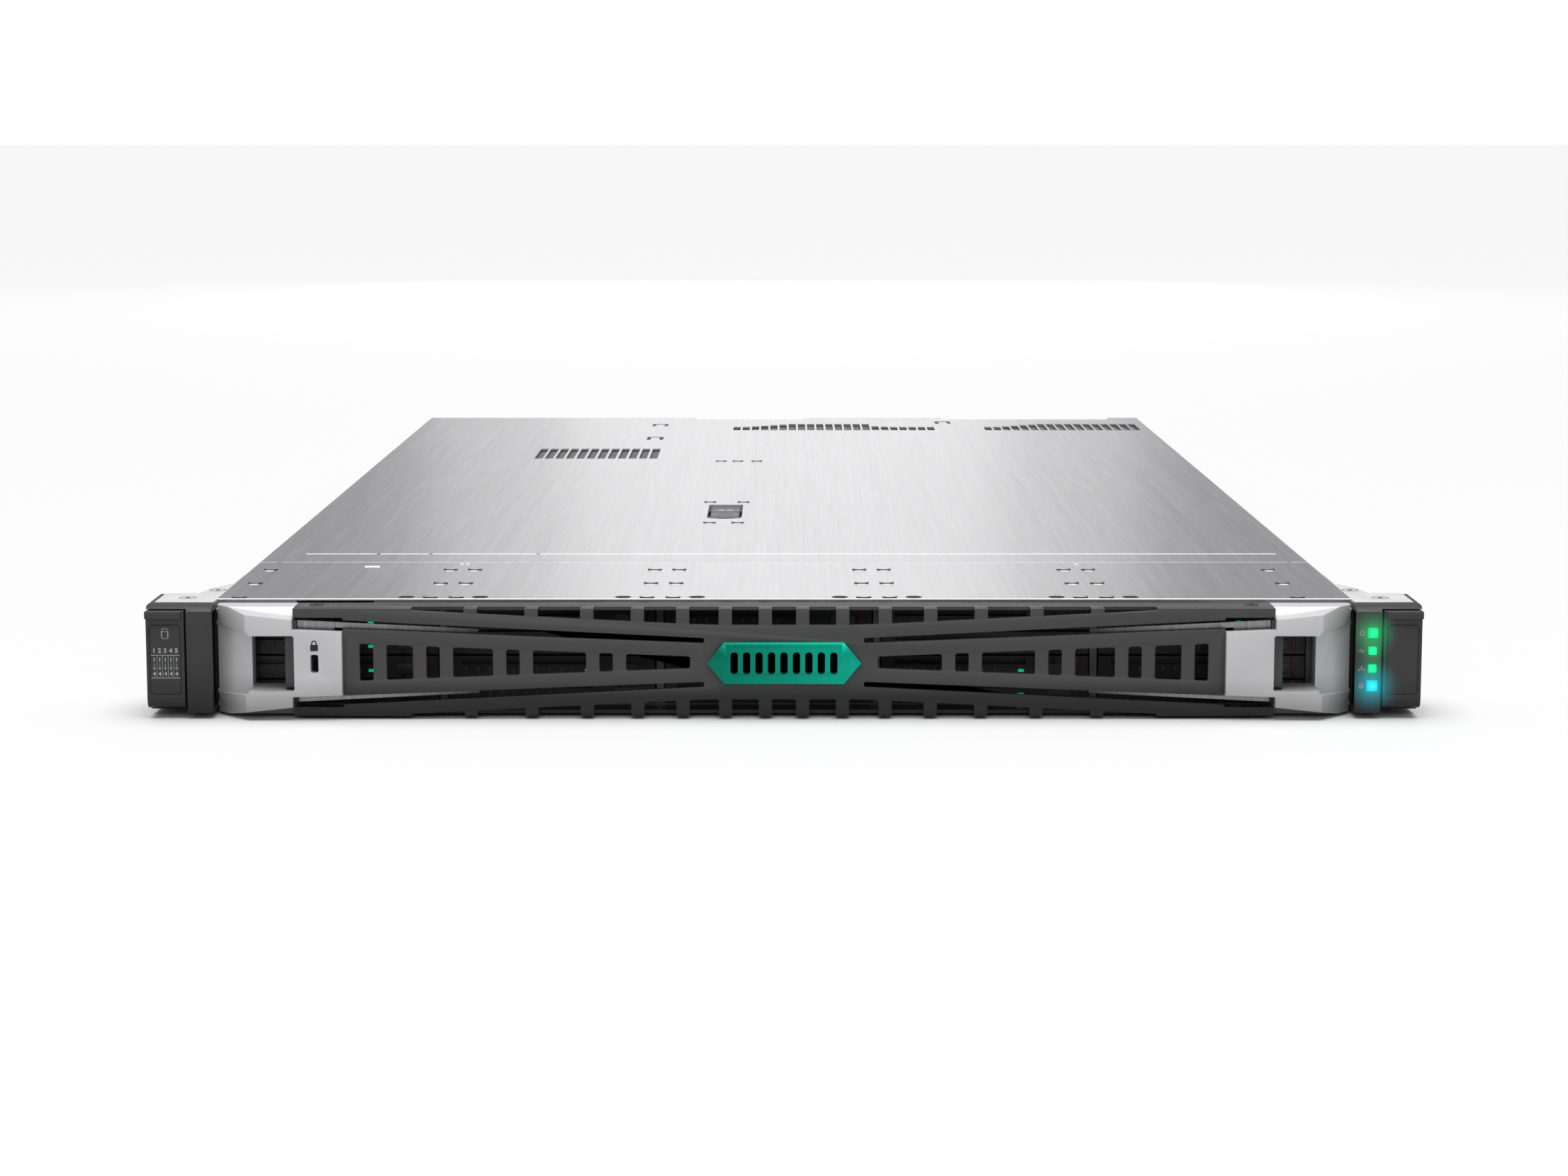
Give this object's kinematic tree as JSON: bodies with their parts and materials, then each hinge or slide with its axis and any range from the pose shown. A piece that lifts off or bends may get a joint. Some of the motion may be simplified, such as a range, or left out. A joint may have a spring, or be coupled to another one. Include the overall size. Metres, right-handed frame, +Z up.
{
  "type": "rack server",
  "caption": "Shallow rack-mount server with a slatted clip-on bezel, flip-down rack ears, slide-off top panel, slim drives, fans and pull-out power supplies.",
  "frame": {"origin": "on the underside at mid width, in the plane where the rack ears' flanges touch the rack posts", "axes": "+X to the right as seen from the front, +Y from the front to the rear, +Z up"},
  "size_m": [0.4826, 0.822, 0.0433],
  "materials": {
    "chassis_steel": "galvanised steel sheet, satin",
    "stud_steel": "bright steel",
    "cover_steel": "steel sheet brushed front to rear",
    "panel_steel": "steel sheet brushed front to rear",
    "latch_plastic": "moulded plastic, satin",
    "cage_steel": "steel sheet, satin",
    "board": "circuit board lacquer",
    "dark_plastic": "moulded plastic, matt",
    "heatsink_aluminium": "bare aluminium",
    "rear_steel": "galvanised steel sheet",
    "lit_button_green": "lit translucent plastic, green",
    "lit_button_cyan": "lit translucent plastic, cyan",
    "bezel_plastic": "moulded plastic, fine matt grain",
    "accent_green": "moulded plastic, satin green",
    "strip_metal": "dark brushed sheet",
    "ear_metal": "pale steel",
    "ear_plastic": "moulded plastic, fine matt grain",
    "grip_silver": "silver paint, satin",
    "supply_case": "galvanised case, satin",
    "drive_case": "dark carrier, matt"
  },
  "bodies": {
    "chassis": {"chassis_tub": "chassis_steel", "rail_studs": "stud_steel", "front_top_cover": "cover_steel", "drive_cage": "cage_steel", "drive_backplane": "board", "front_port_panel": "dark_plastic", "fan_housings": "dark_plastic", "system_board": "board", "processor_heatsinks": "heatsink_aluminium", "memory_modules": "board", "riser_cages": "rear_steel", "network_adapter": "rear_steel", "rear_port_shells": "stud_steel", "ear_screws": "stud_steel", "status_lenses": "lit_button_green", "ear_bracket_left": "ear_metal", "ear_bracket_right": "ear_metal", "ear_casing_left": "ear_plastic", "ear_casing_right": "ear_plastic"},
    "bezel": {"bezel_frame": "bezel_plastic", "bezel_centre_vent": "accent_green", "bezel_strip_plates": "strip_metal", "bezel_fasteners": "stud_steel", "bezel_grip_left": "grip_silver", "bezel_grip_right": "grip_silver"},
    "access_panel": {"access_panel": "panel_steel"},
    "hood_latch": {"hood_latch": "latch_plastic"},
    "ear_lever_left": {"ear_lever_left": "ear_plastic"},
    "ear_lever_right": {"ear_lever_right": "ear_plastic"},
    "power_button": {"power_button": "lit_button_green"},
    "uid_button": {"uid_button": "lit_button_cyan"},
    "power_supply_1": {"power_supply_1": "supply_case"},
    "power_supply_2": {"power_supply_2": "supply_case"},
    "fan_rotor_1": {"fan_rotor_1": "dark_plastic"},
    "fan_rotor_2": {"fan_rotor_2": "dark_plastic"},
    "fan_rotor_3": {"fan_rotor_3": "dark_plastic"},
    "fan_rotor_4": {"fan_rotor_4": "dark_plastic"},
    "fan_rotor_5": {"fan_rotor_5": "dark_plastic"},
    "fan_rotor_6": {"fan_rotor_6": "dark_plastic"},
    "fan_rotor_7": {"fan_rotor_7": "dark_plastic"},
    "drive_1_1": {"drive_1_1": "drive_case"},
    "drive_1_2": {"drive_1_2": "drive_case"},
    "drive_1_3": {"drive_1_3": "drive_case"},
    "drive_1_4": {"drive_1_4": "drive_case"},
    "drive_2_1": {"drive_2_1": "drive_case"},
    "drive_2_2": {"drive_2_2": "drive_case"},
    "drive_2_3": {"drive_2_3": "drive_case"},
    "drive_2_4": {"drive_2_4": "drive_case"},
    "drive_3_1": {"drive_3_1": "drive_case"},
    "drive_3_2": {"drive_3_2": "drive_case"},
    "drive_3_3": {"drive_3_3": "drive_case"},
    "drive_3_4": {"drive_3_4": "drive_case"},
    "drive_4_1": {"drive_4_1": "drive_case"},
    "drive_4_2": {"drive_4_2": "drive_case"},
    "drive_4_3": {"drive_4_3": "drive_case"},
    "drive_4_4": {"drive_4_4": "drive_case"},
    "drive_5_1": {"drive_5_1": "drive_case"},
    "drive_5_2": {"drive_5_2": "drive_case"},
    "drive_5_3": {"drive_5_3": "drive_case"},
    "drive_5_4": {"drive_5_4": "drive_case"}
  },
  "joints": [
    {"name": "bezel_pull", "type": "slide", "parent": "chassis", "child": "bezel", "axis": [0, -1, 0], "range_m": [0, 0.06]},
    {"name": "panel_slide", "type": "slide", "parent": "chassis", "child": "access_panel", "axis": [0, 1, 0], "range_m": [0, 0.012]},
    {"name": "hood_latch_lift", "type": "hinge", "parent": "access_panel", "child": "hood_latch", "pos_m": [-0.02755, 0.2916, 0.0398], "axis": [-1, 0, 0], "range_deg": [0, 86]},
    {"name": "ear_lever_left_flip", "type": "hinge", "parent": "chassis", "child": "ear_lever_left", "pos_m": [-0.234, -0.0312, 0.0066], "axis": [1, 0, 0], "range_deg": [0, 85]},
    {"name": "ear_lever_right_flip", "type": "hinge", "parent": "chassis", "child": "ear_lever_right", "pos_m": [0.234, -0.0312, 0.0066], "axis": [1, 0, 0], "range_deg": [0, 85]},
    {"name": "power_button_press", "type": "slide", "parent": "chassis", "child": "power_button", "axis": [0, 1, 0], "range_m": [0, 0.001], "stiffness_N_per_m": 400, "springref_m": -0.0005},
    {"name": "uid_button_press", "type": "slide", "parent": "chassis", "child": "uid_button", "axis": [0, 1, 0], "range_m": [0, 0.001], "stiffness_N_per_m": 400, "springref_m": -0.0005},
    {"name": "power_supply_1_slide", "type": "slide", "parent": "chassis", "child": "power_supply_1", "axis": [0, 1, 0], "range_m": [0, 0.18]},
    {"name": "power_supply_2_slide", "type": "slide", "parent": "chassis", "child": "power_supply_2", "axis": [0, 1, 0], "range_m": [0, 0.18]},
    {"name": "fan_rotor_1_spin", "type": "hinge", "parent": "chassis", "child": "fan_rotor_1", "pos_m": [-0.1758, 0.167, 0.0203], "axis": [0, 1, 0], "continuous": true},
    {"name": "fan_rotor_2_spin", "type": "hinge", "parent": "chassis", "child": "fan_rotor_2", "pos_m": [-0.1172, 0.167, 0.0203], "axis": [0, 1, 0], "continuous": true},
    {"name": "fan_rotor_3_spin", "type": "hinge", "parent": "chassis", "child": "fan_rotor_3", "pos_m": [-0.0586, 0.167, 0.0203], "axis": [0, 1, 0], "continuous": true},
    {"name": "fan_rotor_4_spin", "type": "hinge", "parent": "chassis", "child": "fan_rotor_4", "pos_m": [0, 0.167, 0.0203], "axis": [0, 1, 0], "continuous": true},
    {"name": "fan_rotor_5_spin", "type": "hinge", "parent": "chassis", "child": "fan_rotor_5", "pos_m": [0.0586, 0.167, 0.0203], "axis": [0, 1, 0], "continuous": true},
    {"name": "fan_rotor_6_spin", "type": "hinge", "parent": "chassis", "child": "fan_rotor_6", "pos_m": [0.1172, 0.167, 0.0203], "axis": [0, 1, 0], "continuous": true},
    {"name": "fan_rotor_7_spin", "type": "hinge", "parent": "chassis", "child": "fan_rotor_7", "pos_m": [0.1758, 0.167, 0.0203], "axis": [0, 1, 0], "continuous": true},
    {"name": "drive_1_1_slide", "type": "slide", "parent": "chassis", "child": "drive_1_1", "axis": [0, -1, 0], "range_m": [0, 0.0065]},
    {"name": "drive_1_2_slide", "type": "slide", "parent": "chassis", "child": "drive_1_2", "axis": [0, -1, 0], "range_m": [0, 0.0065]},
    {"name": "drive_1_3_slide", "type": "slide", "parent": "chassis", "child": "drive_1_3", "axis": [0, -1, 0], "range_m": [0, 0.0065]},
    {"name": "drive_1_4_slide", "type": "slide", "parent": "chassis", "child": "drive_1_4", "axis": [0, -1, 0], "range_m": [0, 0.0065]},
    {"name": "drive_2_1_slide", "type": "slide", "parent": "chassis", "child": "drive_2_1", "axis": [0, -1, 0], "range_m": [0, 0.0065]},
    {"name": "drive_2_2_slide", "type": "slide", "parent": "chassis", "child": "drive_2_2", "axis": [0, -1, 0], "range_m": [0, 0.0065]},
    {"name": "drive_2_3_slide", "type": "slide", "parent": "chassis", "child": "drive_2_3", "axis": [0, -1, 0], "range_m": [0, 0.0065]},
    {"name": "drive_2_4_slide", "type": "slide", "parent": "chassis", "child": "drive_2_4", "axis": [0, -1, 0], "range_m": [0, 0.0065]},
    {"name": "drive_3_1_slide", "type": "slide", "parent": "chassis", "child": "drive_3_1", "axis": [0, -1, 0], "range_m": [0, 0.0065]},
    {"name": "drive_3_2_slide", "type": "slide", "parent": "chassis", "child": "drive_3_2", "axis": [0, -1, 0], "range_m": [0, 0.0065]},
    {"name": "drive_3_3_slide", "type": "slide", "parent": "chassis", "child": "drive_3_3", "axis": [0, -1, 0], "range_m": [0, 0.0065]},
    {"name": "drive_3_4_slide", "type": "slide", "parent": "chassis", "child": "drive_3_4", "axis": [0, -1, 0], "range_m": [0, 0.0065]},
    {"name": "drive_4_1_slide", "type": "slide", "parent": "chassis", "child": "drive_4_1", "axis": [0, -1, 0], "range_m": [0, 0.0065]},
    {"name": "drive_4_2_slide", "type": "slide", "parent": "chassis", "child": "drive_4_2", "axis": [0, -1, 0], "range_m": [0, 0.0065]},
    {"name": "drive_4_3_slide", "type": "slide", "parent": "chassis", "child": "drive_4_3", "axis": [0, -1, 0], "range_m": [0, 0.0065]},
    {"name": "drive_4_4_slide", "type": "slide", "parent": "chassis", "child": "drive_4_4", "axis": [0, -1, 0], "range_m": [0, 0.0065]},
    {"name": "drive_5_1_slide", "type": "slide", "parent": "chassis", "child": "drive_5_1", "axis": [0, -1, 0], "range_m": [0, 0.0065]},
    {"name": "drive_5_2_slide", "type": "slide", "parent": "chassis", "child": "drive_5_2", "axis": [0, -1, 0], "range_m": [0, 0.0065]},
    {"name": "drive_5_3_slide", "type": "slide", "parent": "chassis", "child": "drive_5_3", "axis": [0, -1, 0], "range_m": [0, 0.0065]},
    {"name": "drive_5_4_slide", "type": "slide", "parent": "chassis", "child": "drive_5_4", "axis": [0, -1, 0], "range_m": [0, 0.0065]}
  ],
  "couplings": [
    {"joint": "hood_latch_lift", "follows": "panel_slide", "rad_per_m": 123.6}
  ]
}
